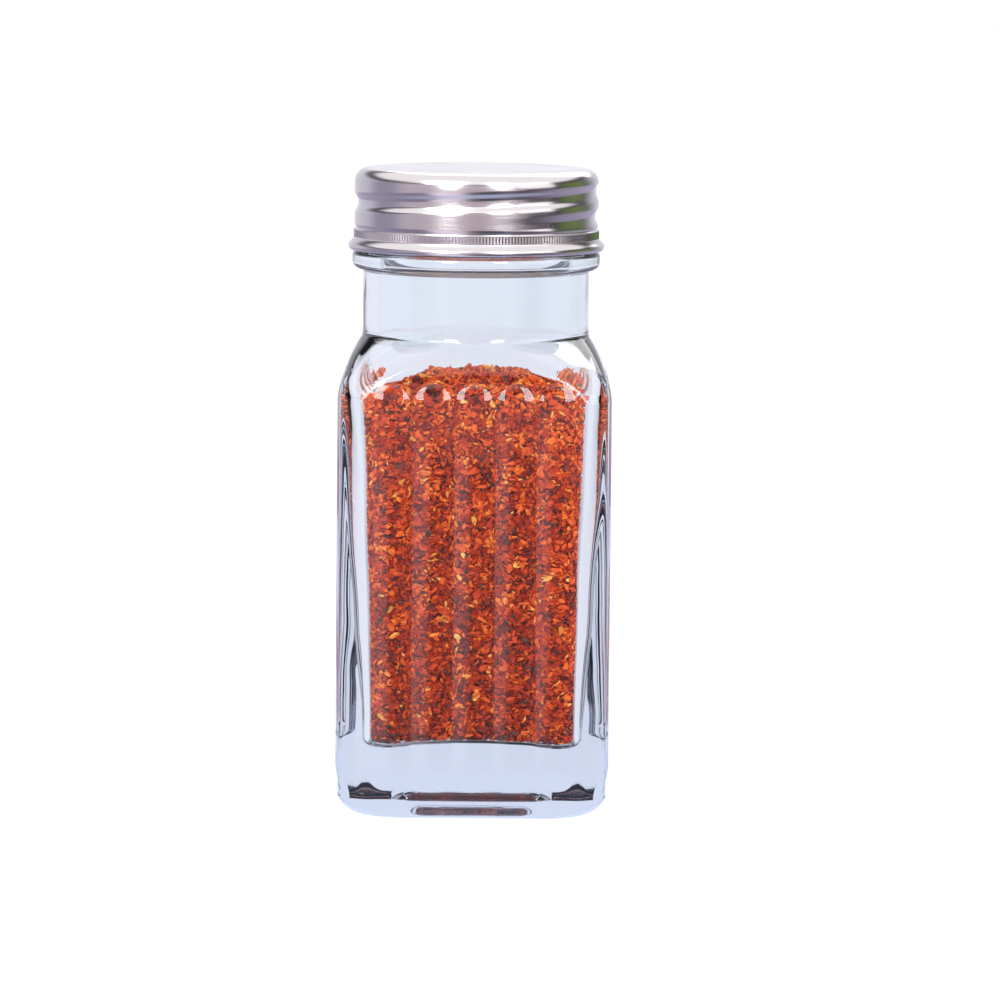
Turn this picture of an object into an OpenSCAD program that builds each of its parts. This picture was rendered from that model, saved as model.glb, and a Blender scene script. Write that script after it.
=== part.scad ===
// Square spice jar in clear glass, with raised vertical ribs on its four faces, a round neck and a
// rolled-thread steel screw lid, filled with chilli flakes. Z is up, the jar stands on z = 0 and
// its front face looks along -Y.

/* [Jar body] */
// Width across two opposite flat faces, without the ribs
body_w = 44.2; // [42:0.2:60]
// Height at which the straight walls end and the shoulder begins
body_h = 69; // [50:1:120]
// Radius of the four upright corners
body_corner_r = 4.5; // [3:0.1:8]
// Height of the rounded heel, which starts at a slight edge
heel_h = 3.7; // [2.5:0.1:6]
// How far the heel draws in at the bottom
heel_inset = 4.7; // [3:0.1:6]
// Height of the shoulder
shoulder_h = 9.6; // [7:0.2:16]
// Width of the flat top of the hollow under the base
push_up_w = 19.8; // [14:0.2:22]
// Depth of the hollow under the base
push_up_h = 4.1; // [2.6:0.1:5]
// Radius between the flat top and the sides of the hollow
push_up_r = 4.4; // [2:0.1:5]
// Corner radius of the flat top of the hollow
push_up_corner_r = 2.2; // [1:0.1:5]

/* [Ribs] */
// Ribs on each face
rib_count = 5; // [3:1:8]
// How far a rib stands proud of the face
rib_rise = 0.5; // [0.3:0.05:0.9]
// Plain valley between two ribs
rib_valley = 0.6; // [0.3:0.1:1.2]
// Plain strip between the outer ribs and the corners
rib_margin = 0.75; // [0.2:0.05:2]
// Height of the lowest point of the ribs
rib_low_z = 5.5; // [4:0.5:12]
// How far the ribs run up into the shoulder
rib_run_up = 2.7; // [0:0.1:3.5]

/* [Inside of the jar] */
// Thickness of the glass under the contents, at the inner corners
floor_t = 11.3; // [8:0.1:16]
// How far the middle of the inner floor is domed up
floor_dome = 2.4; // [0.5:0.1:4]
// Thickness of the wall low down
wall_low = 4.3; // [2:0.1:5]
// Thickness of the wall at the shoulder
wall_high = 2.6; // [1.6:0.1:3.5]
// Height of the inner shoulder's start above the outer one
inner_raise = 0.2; // [0:0.1:2]
// Radius of the upright inner corners
inner_corner_r = 4.2; // [3:0.1:8]
// Radius between the inner floor and the walls
inner_heel_r = 1.8; // [1.2:0.1:5]

/* [Neck] */
// Diameter of the neck
neck_d = 37.6; // [34:0.2:40]
// Thickness of the glass round the mouth, up to the neck's own surface
neck_wall = 2.8; // [2:0.1:4]
// Height of the neck between the shoulder and the bead
neck_h = 11.1; // [6:0.1:20]
// How far the bead stands out from the neck
bead_out = 1.8; // [1.2:0.1:3]
// Height of the bead
bead_h = 2.8; // [2:0.1:5]
// Step of the threaded end back from the neck
finish_step = 0.7; // [0.2:0.1:1.2]
// Height of the threaded end above the bead
finish_h = 11.7; // [11:0.1:18]

/* [Thread] */
// Rise in one turn
thread_pitch = 4.2; // [4:0.1:5.5]
// How far the glass thread stands out
thread_rise = 1.5; // [1:0.05:1.8]
// Height of the glass thread at its root
thread_w = 1.8; // [1.2:0.1:2]
// Depth of the groove rolled in the lid
groove_depth = 0.6; // [0.5:0.05:1]
// Height of the groove rolled in the lid
groove_w = 1.9; // [1.4:0.1:2]
// Height from the mouth down to the groove at the middle of the front
groove_front_drop = 2.5; // [2:0.1:4]

/* [Lid] */
// Thickness of the lid's steel sheet
lid_sheet = 0.4; // [0.3:0.05:0.7]
// Radial gap between the glass thread and the lid
lid_clear = 0.28; // [0.2:0.02:0.6]
// Radius of the lid's upper edge
lid_corner_r = 2.3; // [1.2:0.1:3.5]
// Radius of the curled rim
curl_r = 0.75; // [0.5:0.05:1.1]
// How far the curled rim stands out from the skirt
curl_out = 1.02; // [0.7:0.02:1.6]
// Height over which the skirt flares out to the rim
flare_h = 0.6; // [0.3:0.05:1]
// Gap between the rim and the bead of the neck
skirt_gap = 0.3; // [0.2:0.05:0.8]
// Height of the gripping band above the rim
grip_h = 1.35; // [0.8:0.05:2]
// How far the gripping band stands out from the skirt
grip_out = 0.12; // [0.05:0.01:0.3]
// Depth of the waist above the gripping band
waist_depth = 0.2; // [0.1:0.02:0.25]
// Height of the waist above the gripping band
waist_h = 0.7; // [0.5:0.05:1.2]

/* [Sifter] */
// Thickness of the sifter's plate
sifter_t = 0.8; // [0.6:0.1:1.5]
// Length of the plug below the plate
plug_l = 6; // [4:0.2:9]
// Thickness of the plug's wall
plug_wall = 0.9; // [0.6:0.1:1.5]
// Radial gap between the plug and the mouth
plug_clear = 0.12; // [0.08:0.02:0.3]
// Diameter of a sifter hole
hole_d = 3.2; // [2:0.1:4]
// Distance between two rings of holes
hole_pitch = 5; // [4.5:0.1:7]
// Step of the plate's edge back from the edge of the glass
sifter_setback = 0.4; // [0.2:0.1:1]

/* [Liner] */
// Thickness of the sealing disc
liner_t = 1; // [0.6:0.1:2]

/* [Contents] */
// How far the contents reach up the inside of the shoulder
fill_reach = 0.4; // [0.2:0.1:3]
// Height of the heap above the line where the contents meet the glass
heap_h = 3; // [1:0.1:4.5]
// Gap between the contents and the glass
fill_gap = 0.3; // [0.2:0.05:0.6]

/* [Hidden] */

// How far a cut runs past the face that it opens
overrun = 0.5;
// How far a raised form is sunk into what carries it
root_depth = 0.8;
// Small ledge where a square form meets a round one, which keeps the two walls apart
ledge = 0.12;

// Numbers of steps of the curved surfaces
corner_steps = 8;
push_up_steps = 6;
heel_steps = 7;
shoulder_steps = 10;
floor_steps = 4;
heap_steps = 5;
fill_steps = 3;
turn_steps = 30;

// Degrees that the curves of the heel and of the hollow turn through
heel_turn = 58;
push_up_turn = 60;

// Shares of the sizes that they follow
round_share = 0.96; // how round a square outline has become where it meets a circle
heap_x_share = 0.1; // sideways place of the heap's top
crest_share = 0.45; // width of a thread at its crest to its root
flank_share = 0.75; // how far out a thread is where its flank turns into the crest
fade_share = 0.08; // part of a thread's length over which it runs out

body_half = body_w / 2;
neck_r = neck_d / 2;
bore_r = neck_r - neck_wall;
finish_r = neck_r - finish_step;
thread_r = finish_r + thread_rise;

shoulder_top_z = body_h + shoulder_h;
bead_low_z = shoulder_top_z + neck_h;
bead_top_z = bead_low_z + bead_h;
mouth_z = bead_top_z + finish_h;

rib_pitch = (body_w - 2 * body_corner_r - 2 * rib_margin) / rib_count;
rib_half = (rib_pitch - rib_valley) / 2;
rib_r = (rib_half * rib_half + rib_rise * rib_rise) / (2 * rib_rise);

inner_half_low = body_half - wall_low;
inner_half_high = body_half - wall_high;
inner_reach = inner_half_low * sqrt(2) - inner_corner_r * (sqrt(2) - 1);
inner_shoulder_z = body_h + inner_raise;
inner_shoulder_h = shoulder_h - wall_high / 4;

lid_inner_r = thread_r + lid_clear;
lid_r = lid_inner_r + lid_sheet;
lid_low_z = bead_top_z + skirt_gap;
sifter_z = mouth_z;
liner_z = sifter_z + sifter_t;
lid_ceiling_z = liner_z + liner_t;
lid_top_z = lid_ceiling_z + lid_sheet;
liner_r = lid_r - lid_corner_r;

groove_front_z = mouth_z - groove_front_drop;
grip_low_z = lid_low_z + 2 * curl_r + flare_h;
grip_top_z = grip_low_z + grip_h;
lid_groove_low_z = grip_top_z + waist_h + groove_w / 2;

// Outline of a square with round corners at one height, seen from above and counter-clockwise
function square_ring(z, half, r) = [
    for (quarter = [0:3], i = [0:corner_steps])
        let (
            a = 90 * (quarter + i / corner_steps),
            side_x = quarter == 0 || quarter == 3 ? 1 : -1,
            side_y = quarter < 2 ? 1 : -1
        )
        [side_x * (half - r) + r * cos(a), side_y * (half - r) + r * sin(a), z]
];

// Solid through a list of outlines that have the same number of points, from low to high
module loft(rings) {
    n = len(rings[0]);
    last = len(rings) - 1;
    polyhedron(
        points = [for (ring = rings) each ring],
        faces = concat(
            [[for (i = [0:n - 1]) i]],
            [[for (i = [n - 1:-1:0]) last * n + i]],
            [for (k = [0:last - 1], i = [0:n - 1])
                [k * n + i, (k + 1) * n + i, (k + 1) * n + (i + 1) % n]],
            [for (k = [0:last - 1], i = [0:n - 1])
                [k * n + i, (k + 1) * n + (i + 1) % n, k * n + (i + 1) % n]]
        )
    );
}

// Shoulder of a square form that rises from half width `half` to a round end of radius `end_r`,
// or the lower `reach` of it, drawn in by `gap`
function shoulder_rings(z, h, half, r, end_r, steps = shoulder_steps, reach = 1, gap = 0) = [
    for (i = [0:steps])
        let (
            t = reach * i / steps,
            w = end_r + (half - end_r) * (1 - t * t),
            corner = r + (w * round_share - r) * pow(t, 1.6)
        )
        square_ring(z + h * t, w - gap, corner - gap)
];

// Outside of the body, from the heel to the top of the shoulder
module body_outside() {
    heel = [
        for (i = [0:heel_steps - 1])
            let (a = heel_turn * i / heel_steps, inset = heel_inset * (1 - sin(a) / sin(heel_turn)))
            square_ring(heel_h * (1 - cos(a)) / (1 - cos(heel_turn)), body_half - inset,
                body_corner_r + inset / 2)
    ];
    straight = [square_ring(heel_h, body_half, body_corner_r)];
    loft(concat(heel, straight, shoulder_rings(body_h, shoulder_h, body_half, body_corner_r,
        neck_r + ledge)));
}

// Round-topped section of a rib, with its foot sunk in the wall; +Y is outwards
module rib_section(from_x) {
    intersection() {
        translate([0, rib_rise - rib_r]) circle(r = rib_r, $fn = 96);
        translate([from_x, -root_depth]) square([rib_half - from_x, root_depth + rib_rise]);
    }
}

// One rib with domed ends, on the face that looks along -Y
module rib() {
    low_z = rib_low_z + rib_half;
    high_z = body_h + rib_run_up - rib_half;
    translate([0, 0, low_z]) rotate(180) linear_extrude(high_z - low_z) rib_section(-rib_half);
    for (z = [low_z, high_z])
        translate([0, 0, z]) rotate([90, 0, 0]) rotate_extrude($fn = 64) rib_section(0);
}

module ribs() {
    for (face = [0:3], i = [0:rib_count - 1])
        rotate(90 * face)
            translate([(i - (rib_count - 1) / 2) * rib_pitch, -body_half, 0]) rib();
}

// Hollow under the base, from below the base to its flat top
module push_up() {
    edge_h = push_up_h - push_up_r * (1 - cos(push_up_turn));
    edge_out = push_up_r * sin(push_up_turn);
    foot_out = edge_out + (edge_h + overrun) / tan(push_up_turn);
    loft(concat(
        [square_ring(-overrun, push_up_w / 2 + foot_out, push_up_corner_r + foot_out)],
        [for (i = [push_up_steps:-1:0])
            let (a = push_up_turn * i / push_up_steps, out = push_up_r * sin(a))
            square_ring(push_up_h - push_up_r * (1 - cos(a)), push_up_w / 2 + out, push_up_corner_r + out)]
    ));
}

// A ring raised with the domed inner floor, which falls off to nothing at the inner corners
function raised(ring) = [
    for (p = ring)
        [p[0], p[1], p[2] + floor_dome * (1 - (p[0] * p[0] + p[1] * p[1]) / (inner_reach * inner_reach))]
];

// The space inside the body, or what fills it when `gap` is above zero
function inner_rings(gap) = concat(
    [for (i = [1:floor_steps])
        let (half = (inner_half_low - inner_heel_r) * i / (floor_steps + 1))
        raised(square_ring(floor_t + gap, half, half * round_share))],
    [for (i = [0:heel_steps])
        let (a = 90 * i / heel_steps, draw_in = inner_heel_r * (1 - sin(a)))
        raised(square_ring(floor_t + gap + inner_heel_r * (1 - cos(a)),
            inner_half_low - gap - draw_in, inner_corner_r - gap))]
);

function inner_shoulder_rings(steps, reach, gap) = shoulder_rings(inner_shoulder_z,
    inner_shoulder_h, inner_half_high, inner_corner_r, bore_r + ledge, steps, reach, gap);

module inside() {
    loft(concat(inner_rings(0), inner_shoulder_rings(shoulder_steps, 1, 0)));
}

// Half section of the bead, round below and flat on top
module bead_section() {
    bead_r = neck_r + bead_out;
    round_r = min(bead_h, bead_out + root_depth) / 2;
    difference() {
        translate([neck_r - root_depth, bead_low_z]) square([bead_out + root_depth, bead_h]);
        translate([bead_r - round_r, bead_low_z])
            difference() {
                translate([0, -overrun]) square([round_r + overrun, round_r + overrun]);
                translate([0, round_r]) circle(r = round_r, $fn = 64);
            }
    }
}

// Right-hand helix: height of its middle at an angle in degrees, 270 being the front
function helix_z(front_z, angle) = front_z + thread_pitch * (angle - 270) / 360;
function helix_angle(front_z, z) = 270 + 360 * (z - front_z) / thread_pitch;

// Swept rounded bar on a cylinder of radius r, from a root on one side to a crest on the other.
// `rise` is positive outwards and negative inwards, `root` is how far the foot goes the other way.
module helix_bar(r, front_z, from_z, to_z, width, rise, root) {
    a0 = helix_angle(front_z, from_z);
    a1 = helix_angle(front_z, to_z);
    steps = ceil((a1 - a0) / 360 * turn_steps);
    way = sign(rise);
    rings = [
        for (i = [0:steps])
            let (
                t = i / steps,
                a = a0 + (a1 - a0) * t,
                fade = min(1, min(t, 1 - t) / fade_share),
                high = rise * (0.05 + 0.95 * sin(90 * fade)),
                z = helix_z(front_z, a),
                crest = width * crest_share / 2,
                half = width / 2,
                section = [[-way * root, -half], [high * flank_share, -(crest + half) / 2],
                    [high, -crest / 2], [high, crest / 2],
                    [high * flank_share, (crest + half) / 2], [-way * root, half]]
            )
            [for (p = way < 0 ? section : [for (k = [len(section) - 1:-1:0]) section[k]])
                [(r + p[0]) * cos(a), (r + p[0]) * sin(a), z + p[1]]]
    ];
    loft(rings);
}

module glass_jar() {
    color("AliceBlue", 0.45)
        difference() {
            union() {
                body_outside();
                ribs();
                translate([0, 0, shoulder_top_z - root_depth])
                    cylinder(r = neck_r, h = neck_h + bead_h + root_depth, $fn = 96);
                translate([0, 0, bead_top_z - root_depth])
                    cylinder(r = finish_r, h = finish_h + root_depth, $fn = 96);
                rotate_extrude($fn = 96) bead_section();
                helix_bar(finish_r, groove_front_z + thread_pitch / 2, bead_top_z + thread_w * 2,
                    mouth_z - thread_w * 0.7, thread_w, thread_rise, root_depth);
            }
            inside();
            translate([0, 0, inner_shoulder_z + inner_shoulder_h - overrun])
                cylinder(r = bore_r, h = mouth_z, $fn = 96);
            push_up();
        }
}

// Heaped flakes, a little clear of the glass
module chilli_flakes() {
    wall_rings = inner_shoulder_rings(fill_steps, fill_reach / inner_shoulder_h, fill_gap);
    rim = wall_rings[fill_steps];
    heap = [
        for (i = [1:heap_steps])
            let (t = i / (heap_steps + 1), rise = heap_h * (1 - pow(1 - t, 2)))
            [for (p = rim) [p[0] * (1 - t) + heap_x_share * body_half * t, p[1] * (1 - t), p[2] + rise]]
    ];
    color("OrangeRed") loft(concat(inner_rings(fill_gap), wall_rings, heap));
}

// Plug with a drilled plate that rests on the mouth
module sifter() {
    plug_r = bore_r - plug_clear;
    hole_rings = floor((plug_r - plug_wall - hole_d) / hole_pitch);
    color("WhiteSmoke")
        translate([0, 0, sifter_z])
            difference() {
                union() {
                    cylinder(r = finish_r - sifter_setback, h = sifter_t, $fn = 96);
                    translate([0, 0, -plug_l]) cylinder(r = plug_r, h = plug_l + sifter_t / 2, $fn = 96);
                }
                translate([0, 0, -plug_l - overrun])
                    cylinder(r = plug_r - plug_wall, h = plug_l + overrun, $fn = 96);
                for (ring = [0:hole_rings], i = [0:max(0, 6 * ring - 1)])
                    rotate(360 * i / max(1, 6 * ring))
                        translate([ring * hole_pitch, 0, -overrun])
                            cylinder(d = hole_d, h = sifter_t + 2 * overrun, $fn = 32);
            }
}

module lid_liner() {
    color("Gainsboro") translate([0, 0, liner_z]) cylinder(r = liner_r, h = liner_t, $fn = 96);
}

// Half section of the lid as a full body: outer surface when `inset` is zero, the inside of the
// sheet when it is the sheet's thickness
module lid_section(inset) {
    r = lid_r - inset;
    top = lid_top_z - inset;
    corner = lid_corner_r - inset;
    curl_z = lid_low_z + curl_r;
    rim = inset > 0 ? [[0, lid_low_z - overrun], [r + grip_out, lid_low_z - overrun]]
        : [[0, curl_z], [r + curl_out - curl_r, curl_z],
            [r + curl_out - curl_r * (1 - sin(45)), curl_z + curl_r * cos(45)], [r + grip_out, grip_low_z]];
    polygon(concat(
        rim,
        [[r + grip_out, grip_top_z],
            [r - waist_depth, grip_top_z + waist_h / 3], [r - waist_depth, grip_top_z + 2 * waist_h / 3],
            [r, grip_top_z + waist_h]],
        [for (a = [0:10:90]) [r - corner + corner * cos(a), top - corner + corner * sin(a)]],
        [[0, top]]
    ));
}

module lid_shell() {
    groove_high_z = lid_top_z - lid_corner_r - groove_w / 2;
    color("Silver")
        difference() {
            union() {
                difference() {
                    rotate_extrude($fn = 96) lid_section(0);
                    helix_bar(lid_r, groove_front_z, lid_groove_low_z, groove_high_z, groove_w,
                        -groove_depth, overrun);
                }
                translate([0, 0, lid_low_z + curl_r]) rotate_extrude($fn = 96)
                    translate([lid_r + curl_out - curl_r, 0]) circle(r = curl_r, $fn = 32);
            }
            difference() {
                rotate_extrude($fn = 96) lid_section(lid_sheet);
                helix_bar(lid_inner_r, groove_front_z, lid_groove_low_z, groove_high_z,
                    groove_w + 2 * lid_sheet, -groove_depth, lid_sheet / 2);
            }
        }
}

glass_jar();
chilli_flakes();
sifter();
lid_liner();
lid_shell();
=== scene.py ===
import math
import random
import bpy
import bmesh
import numpy as np
from mathutils import Matrix, Vector


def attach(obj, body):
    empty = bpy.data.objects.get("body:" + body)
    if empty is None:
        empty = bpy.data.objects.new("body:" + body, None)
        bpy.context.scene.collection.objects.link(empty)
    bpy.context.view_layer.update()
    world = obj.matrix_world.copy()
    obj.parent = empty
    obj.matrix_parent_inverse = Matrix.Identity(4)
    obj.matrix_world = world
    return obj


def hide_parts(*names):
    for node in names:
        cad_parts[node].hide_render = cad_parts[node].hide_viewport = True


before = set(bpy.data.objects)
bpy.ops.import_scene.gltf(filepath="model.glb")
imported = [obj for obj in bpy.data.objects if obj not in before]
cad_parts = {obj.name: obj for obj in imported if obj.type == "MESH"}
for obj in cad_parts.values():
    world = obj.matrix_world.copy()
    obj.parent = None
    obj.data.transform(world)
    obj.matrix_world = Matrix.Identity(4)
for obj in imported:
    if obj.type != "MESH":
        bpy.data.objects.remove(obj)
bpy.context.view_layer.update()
mm = 0.001  # every size below is in millimetres, and meshes are in metres


# Small helpers

def linear(hexColour, alpha=1.0):
    parts = [int(hexColour[i:i + 2], 16) / 255 for i in (1, 3, 5)]
    return [p / 12.92 if p <= 0.04045 else ((p + 0.055) / 1.055) ** 2.4 for p in parts] + [alpha]


def addNode(tree, kind, inputs=None, **settings):
    node = tree.nodes.new(kind)
    for name, value in settings.items():
        setattr(node, name, value)
    for socket, value in (inputs or {}).items():
        if isinstance(value, bpy.types.NodeSocket):
            tree.links.new(value, node.inputs[socket])
        else:
            node.inputs[socket].default_value = value
    return node


def newMaterial(name):
    material = bpy.data.materials.new(name)
    material.use_nodes = True
    material.node_tree.nodes.clear()
    return material, material.node_tree


def paintRamp(ramp, stops):
    # stops are (position, colour) from left to right
    elements = ramp.color_ramp.elements
    while len(elements) < len(stops):
        elements.new(1.0)
    for element, (position, colour) in zip(elements, stops):
        element.position = position
        element.color = linear(colour)


def meshObject(name, bm, material, smooth=True):
    mesh = bpy.data.meshes.new(name)
    bm.to_mesh(mesh)
    bm.free()
    if smooth:
        mesh.shade_smooth()
    piece = bpy.data.objects.new(name, mesh)
    bpy.context.scene.collection.objects.link(piece)
    mesh.materials.append(material)
    return piece


def ringSurface(bm, angles, places):
    # a grid wrapped round the axis: one column for each angle, one row for each place, and a pole at both
    # ends; a place is a function of the angle that gives the distance from the axis and the height
    columns, rows = len(angles), len(places)
    bmesh.ops.create_grid(bm, x_segments=columns, y_segments=rows - 1, size=0.5)
    ends = {0: [], rows - 1: []}
    for vert in bm.verts:
        angle = angles[round((vert.co.x + 0.5) * columns) % columns]
        row = round((vert.co.y + 0.5) * (rows - 1))
        radius, z = places[row](angle)
        vert.co = (radius * mm * math.cos(angle), radius * mm * math.sin(angle), z * mm)
        if row in ends:
            ends[row].append(vert)
    for rim in ends.values():
        centre = sum((v.co for v in rim), Vector()) / len(rim)
        bmesh.ops.pointmerge(bm, verts=rim, merge_co=(0, 0, centre.z))
    bmesh.ops.remove_doubles(bm, verts=bm.verts, dist=1e-8)
    bmesh.ops.recalc_face_normals(bm, faces=bm.faces)


def arc(centreR, centreZ, radius, fromDegrees, toDegrees, steps):
    # points (radius from the axis, height) along a round stretch of a section
    return [(centreR + radius * math.cos(math.radians(a)), centreZ + radius * math.sin(math.radians(a)))
            for a in np.linspace(fromDegrees, toDegrees, steps)]


def ringAt(radius, z):
    return lambda angle: (radius, z)


def smoothMax(a, b, blend):
    return (a + b + math.sqrt((a - b) ** 2 + blend ** 2)) / 2


def smoothStep(t):
    t = min(1.0, max(0.0, t))
    return t * t * (3 - 2 * t)


# Camera: one metre away, a little above the lid, at the photograph's angle

camera = {
    "distance": 1000, "height": 161, "sideways": 4.3,
    "pitchDegrees": 6.28, "rollDegrees": 0.5, "lens": 216.7,
}


def makeCamera(values):
    data = bpy.data.cameras.new("camera")
    data.lens = values["lens"]
    data.clip_start = 0.05
    data.clip_end = 60
    rig = bpy.data.objects.new("camera", data)
    rig.location = (values["sideways"] * mm, -values["distance"] * mm, values["height"] * mm)
    tilt = Matrix.Rotation(math.radians(90 - values["pitchDegrees"]), 3, "X")
    rig.rotation_euler = (tilt @ Matrix.Rotation(math.radians(values["rollDegrees"]), 3, "Z")).to_euler()
    bpy.context.scene.collection.objects.link(rig)
    bpy.context.scene.camera = rig


makeCamera(camera)
print("camera ready")


# Glass jar: pressed and blown in one piece, square with round corners, five ribs on each face

glass = {
    "halfWidth": 22.1, "cornerR": 4.5, "bodyTop": 69.0, "heelHeight": 3.7, "heelInset": 4.7, "heelTurn": 58,
    "shoulderHeight": 9.6, "shoulderEnd": 18.92, "roundShare": 0.96,
    "ribCount": 5, "ribMargin": 0.75, "ribRise": 0.5, "ribValley": 0.6, "ribLow": 5.5, "ribRunUp": 2.7,
    "creaseBlend": 0.1,
    "neckR": 18.8, "neckHeight": 11.1, "neckBlend": 0.25, "neckFillet": 0.35,
    "beadOut": 1.8, "beadHeight": 2.8, "beadLowRound": 1.3, "beadTopRound": 0.45,
    "finishR": 18.1, "mouthHeight": 11.7, "mouthOuterRound": 0.5, "mouthInnerRound": 0.4,
    "boreR": 16.0, "boreBlendRise": 2.4,
    "threadPitch": 4.2, "threadRise": 1.5, "threadWidth": 1.8, "frontDrop": 2.5,
    "floor": 11.3, "floorDome": 2.4, "wallLow": 4.3, "wallHigh": 2.6, "innerCornerR": 4.2, "innerHeelR": 1.8,
    "innerWave": 0.1, "floorFade": 6.0, "innerRaise": 0.2, "hollowHalf": 9.9, "hollowCornerR": 2.2,
    "hollowDepth": 4.1, "hollowRound": 4.4, "hollowFoot": 0.4, "hollowLean": 30,
    "guard": 0.15,  # a row this close to a curve keeps the shading of the straight stretch beside it flat
    "rowStep": 0.21,  # between rows where the ribs begin and end
}
ribPitch = 2 * (glass["halfWidth"] - glass["cornerR"] - glass["ribMargin"]) / glass["ribCount"]
ribHalf = (ribPitch - glass["ribValley"]) / 2
ribArc = (ribHalf ** 2 + glass["ribRise"] ** 2) / (2 * glass["ribRise"])
shoulderTop = glass["bodyTop"] + glass["shoulderHeight"]
beadLow = shoulderTop + glass["neckHeight"]
beadTop = beadLow + glass["beadHeight"]
mouthZ = beadTop + glass["mouthHeight"]
innerLow = glass["halfWidth"] - glass["wallLow"]
innerHigh = glass["halfWidth"] - glass["wallHigh"]
innerReach = innerLow * math.sqrt(2) - (math.sqrt(2) - 1) * glass["innerCornerR"]
innerShoulderLow = glass["bodyTop"] + glass["innerRaise"]
innerShoulderHigh = innerShoulderLow + glass["shoulderHeight"] - glass["wallHigh"] / 4
grooveFront = mouthZ - glass["frontDrop"]


def squareRadius(angle, half, corner):
    # distance from the axis to the edge of a square with round corners, in one direction
    turn = abs((angle + math.pi / 4) % (math.pi / 2) - math.pi / 4)
    straight = half - corner
    if half * math.tan(turn) <= straight:
        return half / math.cos(turn)
    along = straight * (math.cos(turn) + math.sin(turn))
    across = straight * (math.cos(turn) - math.sin(turn))
    return along + math.sqrt(max(corner ** 2 - across ** 2, 0))


def shoulderOutline(t, half, corner, end):
    width = end + (half - end) * (1 - t * t)
    return width, corner + (width * glass["roundShare"] - corner) * t ** 1.6


def bodyOutline(z):
    # half width and corner radius of the outside at one height
    half, corner = glass["halfWidth"], glass["cornerR"]
    if z < glass["heelHeight"]:
        turn = math.radians(glass["heelTurn"])
        cosA = 1 - max(z, 0) / glass["heelHeight"] * (1 - math.cos(turn))
        inset = glass["heelInset"] * (1 - math.sqrt(1 - cosA ** 2) / math.sin(turn))
        return half - inset, corner + inset / 2
    if z < glass["bodyTop"]:
        return half, corner
    t = (z - glass["bodyTop"]) / glass["shoulderHeight"]
    return shoulderOutline(t, half, corner, glass["shoulderEnd"])


def ribHeight(across, z):
    # height of the ribs over the flat face, which goes on falling beyond their edges
    index = round(across / ribPitch)
    limit = (glass["ribCount"] - 1) // 2
    index = max(-limit, min(limit, index))
    sideways = across - index * ribPitch
    lowZ = glass["ribLow"] + ribHalf
    highZ = glass["bodyTop"] + glass["ribRunUp"] - ribHalf
    beyond = max(lowZ - z, z - highZ, 0)
    out = math.hypot(sideways, beyond)
    inside = min(out, ribHalf * 1.1)
    return math.sqrt(ribArc ** 2 - inside ** 2) - ribArc + glass["ribRise"] - 2 * (out - inside)


def bodyRadius(angle, z):
    half, corner = bodyOutline(z)
    flat = squareRadius(angle, half, corner)
    turn = (angle + math.pi / 4) % (math.pi / 2) - math.pi / 4
    out = flat * math.cos(turn)
    for _ in range(2):
        rib = glass["halfWidth"] + ribHeight(out * math.tan(turn), z)
        out = smoothMax(flat * math.cos(turn), rib, glass["creaseBlend"])
    return out / math.cos(turn)


def floorLift(radius):
    # rise of the domed inner floor, nothing at the inner corners
    return glass["floorDome"] * (1 - (radius / innerReach) ** 2)


def wallLift(angle, z):
    # what is left of that rise in the wall above the floor
    left = smoothStep((glass["floor"] + glass["innerHeelR"] + glass["floorFade"] - z) / glass["floorFade"])
    return floorLift(squareRadius(angle, innerLow, glass["innerCornerR"])) * left


def cavityOutline(z):
    # half width and corner radius of the inside at one height, from the inner heel to the shoulder
    corner = glass["innerCornerR"]
    heelTop = glass["floor"] + glass["innerHeelR"]
    if z < heelTop:
        cosA = 1 - max(z - glass["floor"], 0) / glass["innerHeelR"]
        return innerLow - glass["innerHeelR"] * (1 - math.sqrt(1 - cosA ** 2)), corner
    if z < innerShoulderLow:
        return innerLow + (innerHigh - innerLow) * (z - heelTop) / (innerShoulderLow - heelTop), corner
    t = min(1.0, (z - innerShoulderLow) / (innerShoulderHigh - innerShoulderLow))
    return shoulderOutline(t, innerHigh, corner, glass["boreR"] + 0.12)


def innerRipple(angle, z):
    # the inside is blown, not pressed, so it undulates a little
    wave = 0.6 * math.sin(0.31 * z + 2.2 * math.sin(3 * angle + 0.7)) + 0.4 * math.sin(0.19 * z - 5 * angle)
    wave = glass["innerWave"] * wave
    return wave * smoothStep((z - glass["floor"]) / 6) * smoothStep((innerShoulderHigh - z) / 5)


def cavityRadius(angle, z):
    half, corner = cavityOutline(z - wallLift(angle, z))
    return squareRadius(angle, half, corner) + innerRipple(angle, z)


def threadHeight(angle, z, pitch, front, low, high, width):
    # 0 to 1 across a right-hand thread whose middle is at height `front` on the jar's front
    turns = (angle + math.pi / 2) / (2 * math.pi)
    nearest = round((z - front) / pitch - turns) + turns
    middle = front + pitch * nearest
    side = smoothStep(1.25 - abs(z - middle) / (width / 2) * 0.9)
    return side * smoothStep((middle - low) / 1.2) * smoothStep((high - middle) / 1.2)


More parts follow.
